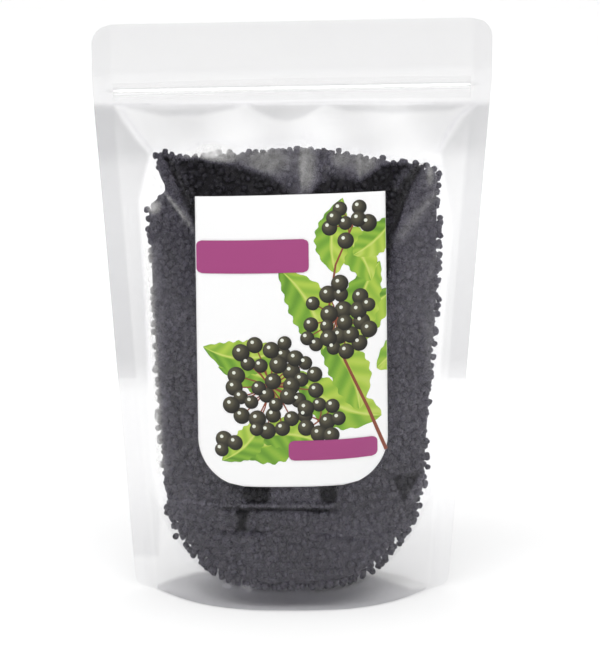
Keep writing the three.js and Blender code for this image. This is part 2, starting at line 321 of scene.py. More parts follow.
def leaned(x, z):
    """Height after the slight lean of the mouth: none at the foot, all of it from the zip up."""
    return z + TOP_EDGE_SLOPE * x * smooth(LEAN_FROM, ZIP_HEIGHT - ZIP_BELOW, z)


def fill_edge(z):
    """Half the width of the berries at a height: where the panels close on the last of them."""
    share = np.minimum(1, FILL_EDGE_DEPTH / np.maximum(bulge(z), FILL_EDGE_DEPTH))
    return open_half_width(z) * (1 - share ** (1 / hollow(z))) ** (1 / CROSS_EASE)


def weld_height(x, z):
    """Height of the curved weld between a panel and the bottom gusset."""
    share = np.minimum(np.abs(x) / open_half_width(z), 1)
    return SKIRT_HEIGHT + (GUSSET_HEIGHT - SKIRT_HEIGHT) * share ** WELD_POWER


def photo_pixel(x, y, z):
    """Where the photo shows a point of the pouch."""
    height = leaned(x, z) - CAMERA_TARGET.z / MM
    tilt_cos, tilt_sin = math.cos(CAMERA_ELEVATION), math.sin(CAMERA_ELEVATION)
    scale = FOCAL_PIXELS / (CAMERA_DISTANCE / MM + y * tilt_cos - height * tilt_sin)
    across = PHOTO_WIDTH / 2 + scale * (x - CAMERA_TARGET.x / MM)
    return across, PHOTO_HEIGHT / 2 - scale * (y * tilt_sin + height * tilt_cos)


def front_pixel(x, z):
    return photo_pixel(x, -plain_depth(x, z) - FILM_OUTSIDE, z)


def distance_to_route(x, z, route):
    """Distance from points to a route of straight stretches."""
    least = np.full(np.shape(x), np.inf)
    for (x0, z0), (x1, z1) in zip(route, route[1:]):
        along_x, along_z = x1 - x0, z1 - z0
        share = np.clip(((x - x0) * along_x + (z - z0) * along_z) / (along_x ** 2 + along_z ** 2), 0, 1)
        least = np.minimum(least, np.hypot(x - x0 - share * along_x, z - z0 - share * along_z))
    return least


def depth_inside(x, z, outline):
    """How far points lie inside an outline; negative outside it."""
    inside = np.zeros(np.shape(x), dtype=bool)
    for (x0, z0), (x1, z1) in zip(outline, outline[1:] + outline[:1]):
        if z0 != z1:
            inside ^= ((z0 > z) != (z1 > z)) & (x < x0 + (z - z0) * (x1 - x0) / (z1 - z0))
    gap = distance_to_route(x, z, outline + outline[:1])
    return np.where(inside, gap, -gap)


def ripples(x, z, wavelength, seed, upright=1.0):
    """Smooth random waves of about the given length; upright above 1 stretches them along Z."""
    draw = random.Random(seed)
    total = np.zeros(np.shape(x))
    waves = 9
    for _ in range(waves):
        turn = draw.uniform(0, math.pi)
        pace = 2 * math.pi / (wavelength * draw.uniform(0.7, 1.5))
        phase = draw.uniform(0, 2 * math.pi)
        total += np.sin(pace * (x * math.cos(turn) + z * math.sin(turn) / upright) + phase)
    return total / math.sqrt(waves / 2)


def under_label(x, z):
    """1 where the label keeps the film flat, 0 a few millimetres off it."""
    past_edge = [np.abs(x) - LABEL_HALF_WIDTH, LABEL_FOOT - z, z - LABEL_HEAD]
    return math.prod(1 - smooth(-1, 3, past) for past in past_edge)


def rail_share(x, z):
    """How far the film is pushed out over the zip's rail: 1 along its middle, 0 off it."""
    ends = 1 - smooth(*RAIL_ENDS, np.abs(x) - ZIP_HALF_LENGTH)
    return np.exp(-(z - ZIP_HEIGHT - RAIL_RISE) ** 2) * ends


def along(x, z, route, spread):
    """1 on a route, fading away on both sides of it."""
    return np.exp(-(distance_to_route(x, z, route) / spread) ** 2)


def folded_out(x, z, folds):
    """How far folds push the film out; negative where they draw it in."""
    return -sum(sink * along(x, z, route, spread) for route, sink, spread in folds)


def front_depth(x, z):
    depth = plain_depth(x, z)
    room = smooth(0.2, 4, depth) * (1 - under_label(x, z))
    seen_x, seen_y = front_pixel(x, z)
    off_fill = 1 - smooth(-2, 8, depth_inside(seen_x, seen_y, FILL_OUTLINE))
    slack = (SLACK_ON_FILL + SLACK_OFF_FILL * off_fill) * smooth(0, 12, z)
    waves = slack * ripples(x, z, SLACK_WAVE, 5, upright=1.5)
    folds = folded_out(seen_x, seen_y, FRONT_FOLDS)
    return depth + RAIL_RIDGE * rail_share(x, z) + room * (folds + waves)


def sheet_mesh(name, columns, rows, place):
    """A grid of faces that `place` takes from the square -1..1 to millimetres."""
    grid = bmesh.new()
    bmesh.ops.create_grid(grid, x_segments=columns, y_segments=rows, size=1)
    square = np.array([vert.co[:2] for vert in grid.verts])
    points = np.column_stack(place(square[:, 0], square[:, 1])) * MM
    for vert, point in zip(grid.verts, points):
        vert.co = point
    mesh = as_mesh(name, grid)
    mesh.shade_smooth()
    return mesh, square


def paint(mesh, name, values):
    """Keep one number per point on the mesh, for its material to read."""
    layer = mesh.attributes.new(name, "FLOAT", "POINT")
    layer.data.foreach_set("value", np.asarray(values, dtype=np.float32))


def add_piece(name, mesh, material, replaced=()):
    piece = add_object(name, mesh)
    mesh.materials.append(material)
    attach(piece, "root")
    if replaced:
        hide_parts(*replaced)
    return piece


def thicken(piece, millimetres):
    """Give a sheet its thickness, inwards from its outer face."""
    wall = piece.modifiers.new("thickness", "SOLIDIFY")
    wall.thickness = millimetres * MM
    wall.offset = -1
    return piece


def clear_laminate():
    """Clear polyester and polyethylene laminate, cast and rolled: glossy and a little wavy, greyer
    where it is looked through aslant or doubled and where darker reflections and shadows are
    painted on, milky where it rests on the berries loosely and where glare is painted on as milk."""
    film = new_material("clear_laminate")
    haze = add_node(film, "ShaderNodeAttribute", attribute_name="haze").outputs["Fac"]
    grey = add_node(film, "ShaderNodeAttribute", attribute_name="grey").outputs["Fac"]
    place = add_node(film, "ShaderNodeTexCoord").outputs["Object"]
    waves = add_node(film, "ShaderNodeTexNoise", {"Vector": place, "Scale": 1 / (9 * MM), "Detail": 2})
    bump = add_node(
        film, "ShaderNodeBump", {"Height": waves.outputs["Fac"], "Strength": 0.15, "Distance": 0.5 * MM},
    )
    mottle = add_node(film, "ShaderNodeTexNoise", {"Vector": place, "Scale": 1 / (2.6 * MM), "Detail": 1})
    uneven = add_node(
        film, "ShaderNodeMapRange",
        {"Value": mottle.outputs["Fac"], "From Min": 0.3, "From Max": 0.7, "To Min": 0.7, "To Max": 1.3},
    )
    mottled = add_node(film, "ShaderNodeMath", {0: haze, 1: uneven.outputs[0]}, operation="MULTIPLY")
    tint = add_node(film, "ShaderNodeMix", {"Factor": grey}, data_type="RGBA")
    tint.inputs["A"].default_value = linear("#ffffff")
    tint.inputs["B"].default_value = linear("#dcdcdd")
    clear = add_node(film, "ShaderNodeBsdfTransparent", {"Color": tint.outputs["Result"]})
    thicker = add_node(film, "ShaderNodeMapRange", {"Value": haze, "From Min": 0.03, "From Max": 0.1})
    cast = add_node(film, "ShaderNodeMix", {"Factor": thicker.outputs[0]}, data_type="RGBA")
    cast.inputs["A"].default_value = linear("#e4dff8")
    cast.inputs["B"].default_value = linear("#fbfafa")
    milk = add_node(film, "ShaderNodeBsdfDiffuse", {"Color": cast.outputs["Result"]})
    cloudy = add_node(
        film, "ShaderNodeMixShader", {0: mottled.outputs[0], 1: clear.outputs[0], 2: milk.outputs[0]},
    )
    gloss = add_node(
        film, "ShaderNodeBsdfGlossy",
        {"Color": linear("#ffffff"), "Roughness": 0.16, "Normal": bump.outputs[0]},
    )
    aslant = add_node(film, "ShaderNodeLayerWeight", {"Blend": 0.5}).outputs["Facing"]
    steep = add_node(film, "ShaderNodeMath", {0: aslant, 1: 5.0}, operation="POWER")
    glance = add_node(
        film, "ShaderNodeMapRange", {"Value": steep.outputs[0], "To Min": 0.012, "To Max": 0.3},
    )
    shine = add_node(film, "ShaderNodeAttribute", attribute_name="shine").outputs["Fac"]
    mirror = add_node(film, "ShaderNodeMath", {0: glance.outputs[0], 1: shine}, operation="ADD")
    shader = add_node(
        film, "ShaderNodeMixShader", {0: mirror.outputs[0], 1: cloudy.outputs[0], 2: gloss.outputs[0]},
    )
    return finish_material(film, shader.outputs[0])


# Where the film clings to the berries and looks near black, in pixels of the photo: outline,
# softness of its edge, how much of the milkiness it takes away
CLINGING = [
    ([(174, 162), (181, 160), (197, 156), (208, 160), (222, 163), (236, 166), (250, 169), (263, 174),
      (280, 183), (292, 195), (292, 206), (196, 206), (198, 218), (193, 199), (184, 178)], 4.0, 1.0),
    ([(163, 156), (170, 158), (190, 190), (197, 200), (197, 236), (193, 221), (184, 198),
      (174, 177)], 1.0, 1.0),
    ([(312, 191), (321, 182), (335, 176), (353, 181), (362, 181), (370, 173), (382, 166), (394, 162),
      (413, 168), (402, 186), (395, 203), (391, 218), (387, 240), (384, 262), (382, 262),
      (382, 206), (308, 206)], 4.0, 1.0),
    ([(404, 164), (426, 163), (418, 175), (411, 189), (405, 204), (400, 219), (393, 246), (388, 280),
      (384, 280), (384, 240), (390, 210), (396, 185)], 1.0, 1.0),
    ([(243, 484), (270, 484), (270, 500), (264, 504), (248, 504), (243, 498)], 1.5, 1.0),
    ([(228, 484), (244, 484), (244, 497), (232, 492)], 3.0, 0.6),
    ([(318, 484), (336, 484), (337, 500), (330, 504), (321, 501)], 1.5, 1.0),
    ([(235, 510), (250, 510), (246, 522), (247, 531), (235, 532), (238, 520)], 1.2, 1.0),
    ([(250, 528), (262, 532), (251, 533)], 1.0, 0.9),
    ([(224, 507.5), (337, 508.5), (318, 514), (306, 511), (240, 511)], 0.8, 1.0),
    ([(391, 474), (420, 474), (404, 503)], 1.5, 0.75),
]
# Milky patches, some of them painted glare on the film: middle, reach along x and y, strength
MILK_AND_GLARE_PATCHES = [
    ((215, 154), (20, 9), 0.5),
    ((211, 150), (11, 6), 0.4),
    ((196, 157), (12, 5), 0.12),
    ((268, 160), (27, 16), 0.17),
    ((308, 166), (10, 26), 0.18),
    ((302.5, 167), (2.5, 26), 0.15),
    ((308, 170), (1.6, 24), 0.08),
    ((340, 158), (12, 12), 0.15),
    ((365, 163), (14, 14), 0.17),
    ((360, 164), (2.2, 16), 0.12),
    ((390, 160), (10, 6), 0.06),
    ((154, 207), (6, 6), 0.45),
    ((152, 182), (3.5, 12), 0.35),
    ((176, 216), (10, 12), 0.02),
    ((189, 155), (12, 5), 0.05),
    ((430, 174), (3, 10), 0.17),
    ((433, 178), (8, 15), 0.05),
    ((431, 340), (6, 46), 0.08),
    ((420, 225), (24, 60), 0.03),
    ((412, 340), (22, 110), 0.02),
    ((372, 525), (40, 16), 0.01),
    ((440, 270), (4, 40), 0.05),
    ((425, 487), (7, 11), 0.06),
    ((411, 492), (3.5, 9), 0.06),
    ((249, 588), (6, 3), 0.1),
]
# Thin milky creases and painted highlight streaks along folds: route, half width, strength
MILK_AND_HIGHLIGHT_LINES = [
    ([(147, 250), (149, 300), (152, 340), (155, 385), (157, 430), (159, 470)], 3.4, 0.42),
    ([(151, 250), (156, 340), (160, 400), (163, 470)], 8.0, 0.07),
    ([(153, 174), (162, 190), (173, 203), (181, 212), (194, 231)], 3.0, 0.12),
    ([(168, 197), (181, 214), (194, 231)], 1.1, 0.12),
    ([(415, 163), (402, 177), (397, 186)], 3.0, 0.05),
    ([(437, 194), (424, 206), (411, 222), (398, 238)], 5.0, 0.08),
    ([(438, 246), (433, 261), (430, 277)], 3.0, 0.06),
    ([(163, 500), (228, 506), (333, 507)], 0.9, 0.05),
    ([(324, 533), (380, 540), (402, 539)], 0.9, 0.025),
    ([(224, 586), (240, 585), (250, 592)], 0.9, 0.2),
    ([(112, 104), (250, 103.5), (340, 102), (475, 103)], 1.2, 0.14),
    ([(118, 104), (130, 122), (142, 138), (152, 152)], 2.0, 0.12),
    ([(474, 104), (458, 116), (446, 134), (438, 152)], 2.0, 0.12),
]
# Painted shade along folds, as dark hairlines where a fold turns the film edge on: route, half width,
# strength
FOLD_SHADE_LINES = [
    ([(163, 154), (174, 176), (184, 197), (193, 220), (195, 232)], 1.6, 1.0),
    ([(164, 195), (173, 208), (185, 225), (191, 232)], 1.0, 1.0),
    ([(328, 149), (329, 163), (334, 170)], 1.0, 0.6),
    ([(224, 508.8), (337, 509.6)], 1.0, 1.0),
    ([(165, 523), (202, 527), (236, 531)], 0.9, 0.35),
    ([(404, 502), (411, 514), (416, 524)], 0.9, 0.6),
    ([(404, 502), (418, 498), (432, 496)], 0.9, 0.5),
]
# Where a darker reflection is painted as grey on the film beside the fill, its two panels lying close, in
# pixels of the photo
LEFT_WING = [
    (90, 104), (114, 105), (122, 120), (136, 140), (149, 154), (139, 200), (145, 300), (149, 400),
    (152, 470), (160, 520), (158, 556), (90, 556),
]
RIGHT_WING = [
    (500, 104), (478, 105), (464, 118), (452, 136), (441, 152), (452, 230), (446, 300), (438, 400),
    (500, 400),
]
# Below this line the painted reflection on the wings and the front's side welds turns lighter.
WING_REFLECTION_FOOT = 378  # below this line of the photo they are lighter
# The scalloped shadow under the zip ends on this line of the photo.
SCALLOP_X = [112, 130, 165, 200, 232, 245, 258, 272, 288, 303, 324, 345, 395, 450, 480]
SCALLOP_Y = [104, 110, 117, 116, 110, 105, 112, 119, 122, 118, 105, 111, 114, 111, 103]
# Greyness of the film, from 0 to 1: all of it, then what each part has more. The upper, wing and front weld
# parts are painted darker reflections, the shoulder's is painted shade and the scallops' a painted shadow.
FILM_GREY = 0.01
UPPER_DARK_REFLECTION = 0.08
HEADER_GREY = 0.04
WELD_GREY = 0.02
FRONT_WELD_DARK_REFLECTION = 0.12
LEFT_WING_DARK_REFLECTION = 0.18
LEFT_UPPER_DARK_REFLECTION = 0.27
RIGHT_UPPER_DARK_REFLECTION = 0.28
SHOULDER_PAINTED_SHADE = 0.17
SHOULDER_SHADE_UNEVEN = 0.5
SCALLOP_GREY = 0.3
WET_GREY = 0.5  # where the film clings
LOW_WET_GREY = 0.5  # and where it clings below the label
# Where those parts fade in or out, in millimetres of height
UPPER_REFLECTION_START = (90, 110)
HEADER_START = (236, 242)
SHOULDER_START = (196, 208)
SHOULDER_END = (222, 226)
LOW_WET_END = (50, 60)
# And in pixels of the photo
WELD_START = (104, 150)
SCALLOP_START = (103, 106)
WING_EDGE = 3
WING_FOOT_BLUR = 22
RAIL_SHINE = 0.22  # extra gloss of the taut film over the zip's rail
RAIL_SHINE_RISE = 0.6
VEIL = 0.04  # milkiness over the berries wherever the film doesn't cling to them
VEIL_UNEVEN = 0.12
WELD_VEIL = 0.012
WELD_STREAKS = 0.4
CLEAR_HAZE = 0.002
CLOUD_EDGE = 1.3  # above 1 a cloud's edge is sharper than its middle is round


def spaced(value, marks, shares):
    """Take -1..1 to the marks, each stretch between two marks with its share of the grid."""
    steps = np.cumsum([0, *shares]) / sum(shares)
    return np.interp(value, 2 * steps - 1, marks)


def panel_height(v):
    """Heights of the grid's rows, close together over the creases, the zip and the tone step."""
    marks = (0, 30, 56, 94, 101, 175, 212, 224, 240, POUCH_HEIGHT)
    return spaced(v, marks, (20, 46, 16, 10, 31, 60, 12, 35, 20))


def panel_share(u):
    """Places of the grid's columns across the panel, close together beside the label."""
    return spaced(u, (-1, -0.83, -0.43, 0.43, 0.83, 1), (14, 48, 66, 48, 14))


def place_front(u, v):
    z = panel_height(v)
    x = half_width(z) * panel_share(u)
    return x, -(front_depth(x, z) + FILM_OUTSIDE), leaned(x, z)


def side_weld(x, z):
    """1 on the side welds, 0 inside them."""
    return smooth(-1.2, 0.2, np.abs(x) - open_half_width(z))


def film_grey(x, z):
    """The film's own greyness, with a painted darker reflection over the upper half."""
    height = UPPER_DARK_REFLECTION * smooth(*UPPER_REFLECTION_START, z) + HEADER_GREY * smooth(*HEADER_START, z)
    return FILM_GREY + height + WELD_GREY * side_weld(x, z)


def front_grey(x, z):
    """The front film's greyness, with darker reflections painted beside the fill and on the side welds,
    painted shade over the shoulder's glare and the painted shadow under the zip.
    """
    seen_x, seen_y = front_pixel(x, z)
    left, right = (
        smooth(-WING_EDGE, WING_EDGE, depth_inside(seen_x, seen_y, wing))
        for wing in (LEFT_WING, RIGHT_WING)
    )
    above_foot = WING_REFLECTION_FOOT - seen_y
    upper = smooth(-WING_FOOT_BLUR, WING_FOOT_BLUR, above_foot)
    # Painted darker reflections on the wings and on the side welds, lighter below the wing foot
    wing_reflections = left * (LEFT_WING_DARK_REFLECTION + LEFT_UPPER_DARK_REFLECTION * upper) + RIGHT_UPPER_DARK_REFLECTION * right * upper
    weld = FRONT_WELD_DARK_REFLECTION * side_weld(x, z) * smooth(*WELD_START, seen_y) * smooth(-1, 1, above_foot)
    # Painted shade over the shoulder, dimming the soft box's glare on it, unevenly
    shoulder = SHOULDER_PAINTED_SHADE * smooth(*SHOULDER_START, z) * (1 - smooth(*SHOULDER_END, z))
    shoulder *= 1 + SHOULDER_SHADE_UNEVEN * ripples(x, z, 34, 21, upright=2)
    reach = seen_y - np.interp(seen_x, SCALLOP_X, SCALLOP_Y)
    scallops = SCALLOP_GREY * smooth(*SCALLOP_START, seen_y) * (1 - smooth(-4, 2, reach))
    return film_grey(x, z) + wing_reflections + weld + scallops + shoulder


def paint_haze(mesh, veil):
    """Share the milkiness between the two faces of the wall."""
    paint(mesh, "haze", np.clip(veil / 2 + CLEAR_HAZE, 0, 0.6))


front_mesh, square = sheet_mesh("front_film", *FRONT_GRID, place_front)
front_z = panel_height(square[:, 1])
front_x = half_width(front_z) * panel_share(square[:, 0])
seen_x, seen_y = front_pixel(front_x, front_z)
on_fill = smooth(-2, 2, depth_inside(seen_x, seen_y, FILL_OUTLINE))
veil = VEIL * on_fill * (1 + VEIL_UNEVEN * ripples(front_x, front_z, 40, 3))
# Milkiness in patches, with painted glare among them
for (at_x, at_y), (wide, high), strength in MILK_AND_GLARE_PATCHES:
    off_middle = ((seen_x - at_x) / wide) ** 2 + ((seen_y - at_y) / high) ** 2
    veil += strength * np.exp(-off_middle ** CLOUD_EDGE)
wet = np.zeros(len(square))
for outline, softness, strength in CLINGING:
    inside = depth_inside(seen_x, seen_y, outline)
    wet = np.maximum(wet, strength * smooth(-softness, softness, inside))
veil *= 1 - wet
# Painted highlights and milky creases along routes
for route, spread, strength in MILK_AND_HIGHLIGHT_LINES:
    veil += strength * along(seen_x, seen_y, route, spread)
# Painted shade along the folds takes the milkiness away
for route, spread, strength in FOLD_SHADE_LINES:
    veil *= 1 - strength * along(seen_x, seen_y, route, spread)
streaks = 1 + WELD_STREAKS * ripples(front_x, front_z, 5, 8, upright=9)
veil += WELD_VEIL * side_weld(front_x, front_z) * streaks
paint_haze(front_mesh, veil)
wet_grey = wet * (WET_GREY + LOW_WET_GREY * (1 - smooth(*LOW_WET_END, front_z)))
paint(front_mesh, "grey", np.clip(front_grey(front_x, front_z) + wet_grey, 0, 1))
paint(front_mesh, "shine", RAIL_SHINE * rail_share(front_x, front_z - RAIL_SHINE_RISE))
film_material = clear_laminate()
front_film = add_piece("front_film", front_mesh, film_material, ["front_panel"])
thicken(front_film, FILM_THICKNESS)

# Back film panel
# The same laminate behind, plain, with softer folds of its own and no label. Its places are
# millimetres across and up the panel.
BACK_GRID = (110, 160)
BACK_SLACK = 0.3
BACK_SLACK_WAVE = 30
BACK_FILL_TOP = (194, 204)  # where the veil over the berries fades out
BACK_CREASE_VEIL = 0.05
BACK_CREASE_WIDTH = 0.9
BACK_FOLDS = [
    ([(-60, 204), (-52, 190), (-49, 172)], 1.4, 3.0),
    ([(62, 200), (54, 188), (51, 176)], 1.4, 3.0),
    ([(-80, 222), (-66, 207)], -0.8, 2.4),
    ([(80, 222), (67, 208)], -0.8, 2.4),
    ([(-8, 222), (-6, 210)], -1.1, 2.6),
    ([(30, 222), (27, 212)], -0.9, 2.4),
    ([(-50, 45), (-10, 40), (35, 43)], 0.9, 1.8),
    ([(-30, 30), (20, 33)], 0.6, 1.6),
    ([(-62, 120), (-55, 90), (-58, 70)], -0.6, 2.6),
    ([(60, 150), (57, 120)], -0.5, 2.6),
]
BACK_CLINGING = [
    ([(-44, 196), (-10, 200), (20, 194), (50, 196), (46, 176), (20, 168), (-12, 178),
      (-40, 170)], 3.0, 1.0),
    ([(-24, 48), (-6, 50), (-4, 38), (-20, 36)], 1.5, 1.0),
    ([(14, 47), (34, 46), (30, 36), (18, 38)], 1.5, 0.9),
    ([(-52, 120), (-44, 128), (-40, 92), (-48, 84)], 2.5, 0.6),
]


def back_depth(x, z):
    depth = plain_depth(x, z)
    waves = BACK_SLACK * smooth(0, 12, z) * ripples(x, z, BACK_SLACK_WAVE, 12, upright=1.4)
    return depth + smooth(0.6, 7, depth) * (folded_out(x, z, BACK_FOLDS) + waves)


def place_back(u, v):
    z = POUCH_HEIGHT * (v + 1) / 2
    x = -half_width(z) * u
    return x, back_depth(x, z) + FILM_OUTSIDE, leaned(x, z)


back_mesh, square = sheet_mesh("back_film", *BACK_GRID, place_back)
back_z = POUCH_HEIGHT * (square[:, 1] + 1) / 2
back_x = -half_width(back_z) * square[:, 0]
on_fill = 1 - smooth(*BACK_FILL_TOP, back_z)
on_fill *= 1 - smooth(-2, 2, np.abs(back_x) - fill_edge(back_z))
on_fill *= smooth(-1, 3, back_z - weld_height(back_x, back_z))
veil = VEIL * on_fill * (1 + VEIL_UNEVEN * ripples(back_x, back_z, 40, 4))
for outline, softness, strength in BACK_CLINGING:
    veil *= 1 - strength * smooth(-softness, softness, depth_inside(back_x, back_z, outline))
for route, sink, spread in BACK_FOLDS:
    crease = along(back_x, back_z, route, BACK_CREASE_WIDTH)
    veil += BACK_CREASE_VEIL * abs(sink) * on_fill * crease
paint_haze(back_mesh, veil)
paint(back_mesh, "grey", film_grey(back_x, back_z))
back_film = add_piece("back_film", back_mesh, film_material, ["back_panel"])
thicken(back_film, FILM_THICKNESS)

# Bottom gusset
# A strip of the same film folded into the foot: its edges are welded to the panels in a curve,
# and between them it opens into the oval floor that the berries press down.
GUSSET_GRID = (150, 74)
GUSSET_REACH = 0.97  # share of the room between the side welds
GUSSET_CREST = 2.5  # rise of the floor's middle
GUSSET_GAP = 0.35
GUSSET_FOOT = 0.3
LIP_SHARE = 0.26  # of the sheet, at each end, that is welded to a panel
GUSSET_PAINTED_SHADOW = 0.5
GUSSET_SHADOW_HAZE = 0.03
# A painted shadow, standing for the floor's shadow under the pouch, greys the front skirt's doubled film
# below this line of the photo.
SHADE_EDGE_X = [151, 175, 198, 240, 300, 345, 375, 393, 411]
SHADE_EDGE_Y = [588, 579, 573, 570, 568, 571, 576, 583, 589]


def place_gusset(u, v):
    t = GUSSET_REACH * u
    v = spaced(v, (-1, LIP_SHARE - 1, 1 - LIP_SHARE, 1), (26, 22, 26))
    weld = SKIRT_HEIGHT + (GUSSET_HEIGHT - SKIRT_HEIGHT) * np.abs(t) ** WELD_POWER
    climb = np.clip((1 - np.abs(v)) / LIP_SHARE, 0, 1)
    share = np.clip(v / (1 - LIP_SHARE), -1, 1)
    z = GUSSET_FOOT + (weld - GUSSET_FOOT) * climb
    x = t * open_half_width(z)
    reach = np.where(v < 0, front_depth(x, z), back_depth(x, z)) - GUSSET_GAP
    crest = np.where(climb < 1, 0, GUSSET_CREST * (1 - np.abs(share)))
    return x, reach * share, leaned(x, z) + crest


gusset_mesh, square = sheet_mesh("gusset_film", *GUSSET_GRID, place_gusset)
x, y, z = place_gusset(square[:, 0], square[:, 1])
seen_x, seen_y = photo_pixel(x, y, z)
below_edge = seen_y - np.interp(seen_x, SHADE_EDGE_X, SHADE_EDGE_Y)
shaded = smooth(-2.5, 2.5, below_edge) * (square[:, 1] < 0)
# The painted shadow on the front skirt, a little milky to lift its tone
paint(gusset_mesh, "haze", CLEAR_HAZE + GUSSET_SHADOW_HAZE * shaded)
paint(gusset_mesh, "grey", GUSSET_PAINTED_SHADOW * shaded)
gusset_film = add_piece("gusset_film", gusset_mesh, film_material, ["bottom_gusset"])
# A rim would show as a dark line along the weld.
thicken(gusset_film, FILM_THICKNESS).modifiers["thickness"].use_rim = False

# Press-to-close zip
# Two extruded polyethylene tapes, each with two rails: hooks on the front one, arrows on the back
# one. They are welded inside the mouth and crushed flat where the side welds cross them.
ZIP_STEPS = 90
ZIP_BOW = 0.9
ZIP_BOW_MIDDLE = 14
ZIP_BOW_SPAN = 190
CRUSHED = 0.75  # share of its depth that the zip loses at its ends
CRUSH_LENGTH = 7
ZIP_HALF_GAP = 0.12
RAIL_HALF_HEIGHT = 1.3
# Sections of the tapes with their rails: depth from the middle plane, height from the zip's middle
HOOK_SECTION = [
    (1.2, -4.8), (1.05, -4.8), (0.95, -4.4), (0.92, -1.7), (0.3, -1.55), (-0.3, -1.25), (-0.3, -0.55),
    (0.05, -0.55), (0.1, -1.0), (0.8, -1.1), (0.8, 1.1), (0.1, 1.0), (0.05, 0.55), (-0.3, 0.55),
    (-0.3, 1.25), (0.3, 1.55), (0.92, 1.7), (0.95, 4.6), (1.05, 5.0), (1.2, 5.0), (1.2, 1.7),
    (1.2, -1.7),
]
ARROW_SECTION = [
    (1.2, 5.0), (1.05, 5.0), (0.95, 4.6), (0.92, 0.2), (-0.25, 0.16), (-0.2, 0.72), (-0.6, 0.25),
    (-0.6, -0.25), (-0.2, -0.72), (-0.25, -0.16), (0.92, -0.2), (0.95, -4.4), (1.05, -4.8),
    (1.2, -4.8),
]


def milky_polyethylene():
    """Extruded polyethylene: the thin tapes nearly clear, the thick rails milky, both with the
    soft shine and fine lengthwise streaks of the die."""
    plastic = new_material("milky_polyethylene")
    place = add_node(plastic, "ShaderNodeTexCoord").outputs["Object"]
    thick = add_node(plastic, "ShaderNodeAttribute", attribute_name="thick").outputs["Fac"]
    drawn = add_node(plastic, "ShaderNodeMapping", {"Vector": place, "Scale": (0.02, 1, 1)})
    streak = add_node(
        plastic, "ShaderNodeTexNoise", {"Vector": drawn.outputs[0], "Scale": 1 / (0.5 * MM), "Detail": 2},
    )
    bump = add_node(
        plastic, "ShaderNodeBump",
        {"Height": streak.outputs["Fac"], "Strength": 0.08, "Distance": 0.1 * MM},
    )
    milk = add_node(plastic, "ShaderNodeMapRange", {"Value": thick, "To Min": 0.008, "To Max": 0.12})
    clear = add_node(plastic, "ShaderNodeBsdfTransparent", {"Color": linear("#fefefe")})
    skin = add_node(
        plastic, "ShaderNodeBsdfPrincipled",
        {"Base Color": linear("#ffffff"), "Roughness": 0.3, "IOR": 1.51, "Normal": bump.outputs[0]},
    )
    glow = add_node(plastic, "ShaderNodeBsdfTranslucent", {"Color": linear("#ffffff")})
    body = add_node(plastic, "ShaderNodeMixShader", {0: 0.6, 1: skin.outputs[0], 2: glow.outputs[0]})
    shader = add_node(
        plastic, "ShaderNodeMixShader", {0: milk.outputs[0], 1: clear.outputs[0], 2: body.outputs[0]},
    )
    return finish_material(plastic, shader.outputs[0])


def is_inner_cap(face):
    """True for a leftover section face between the two ends of a strip."""
    flat = max(v.co.x for v in face.verts) - min(v.co.x for v in face.verts) < 1e-6
    return flat and abs(abs(face.verts[0].co.x) - ZIP_HALF_LENGTH) > 1e-3


def zip_mesh(name, section, side):
    """Extrude a section along the mouth in steps, bow it with the film and flatten its ends."""
    strip = bmesh.new()
    face = strip.faces.new([strip.verts.new((-ZIP_HALF_LENGTH, y, z)) for y, z in section])
    step = 2 * ZIP_HALF_LENGTH / ZIP_STEPS
    for _ in range(ZIP_STEPS):
        moved = bmesh.ops.extrude_face_region(strip, geom=[face])["geom"]
        face = next(item for item in moved if isinstance(item, bmesh.types.BMFace))
        bmesh.ops.translate(strip, verts=list(face.verts), vec=(step, 0, 0))
    bmesh.ops.delete(strip, geom=[f for f in strip.faces if is_inner_cap(f)], context="FACES_ONLY")
    thick = [float(abs(vert.co.z) <= RAIL_HALF_HEIGHT) for vert in strip.verts]
    for vert in strip.verts:
        x, y, z = vert.co
        crush = 1 - CRUSHED * float(smooth(ZIP_HALF_LENGTH - CRUSH_LENGTH, ZIP_HALF_LENGTH, abs(x)))
        bow = ZIP_BOW * (math.cos(math.pi * (x - ZIP_BOW_MIDDLE) / ZIP_BOW_SPAN) - 0.6)
        height = ZIP_HEIGHT + z + bow + TOP_EDGE_SLOPE * x
        vert.co = Vector((x, side * (y * crush + ZIP_HALF_GAP), height)) * MM
    bmesh.ops.recalc_face_normals(strip, faces=strip.faces)
    mesh = as_mesh(name, strip)
    paint(mesh, "thick", thick)
    return mesh


zip_plastic = milky_polyethylene()
zip_hooks = zip_mesh("zip_hooks", HOOK_SECTION, -1)
zip_arrows = zip_mesh("zip_arrows", ARROW_SECTION, 1)
add_piece("zip_hooks", zip_hooks, zip_plastic, ["zip_channel"])
add_piece("zip_arrows", zip_arrows, zip_plastic, ["zip_arrow"])

# Dried elderberries
# Some five hundred grams of small wrinkled fruit, near black with a purple or brown cast. A dark
# core stands for the berries that nothing shows; single ones lie over it, against the film.
BERRY_PITCH = 3.35
ROW_PITCH = 0.88  # in berry pitches, because the rows are staggered
ROW_REACH = 80
FIRST_ROW = 1.5  # over the skirt
BERRY_STRAY = 0.2  # in berry pitches
ROW_WANDER = 1.2
BERRY_SIZES = (0.86, 1.12)
LOOSE_BERRY_SIZES = (0.86, 1.1)
FILM_CLEARANCE = 0.05
WELD_CLEARANCE = 0.4
TOP_SPAN = (-63, 66)
TOP_PITCH = 0.93  # in berry pitches
TOP_DIPS = (0.2, 1.6)  # how far berries lie below the line of the top
FLOOR_REACH = 58
BERRY_FORMS = 6
BERRY_FOLDS = 5
BERRY_FOLD_DEPTH = 0.13  # in radii
BERRY_FOLD_WIDTH = 0.22
PHOTO_BERRY_RADIUS = 3.4  # in pixels
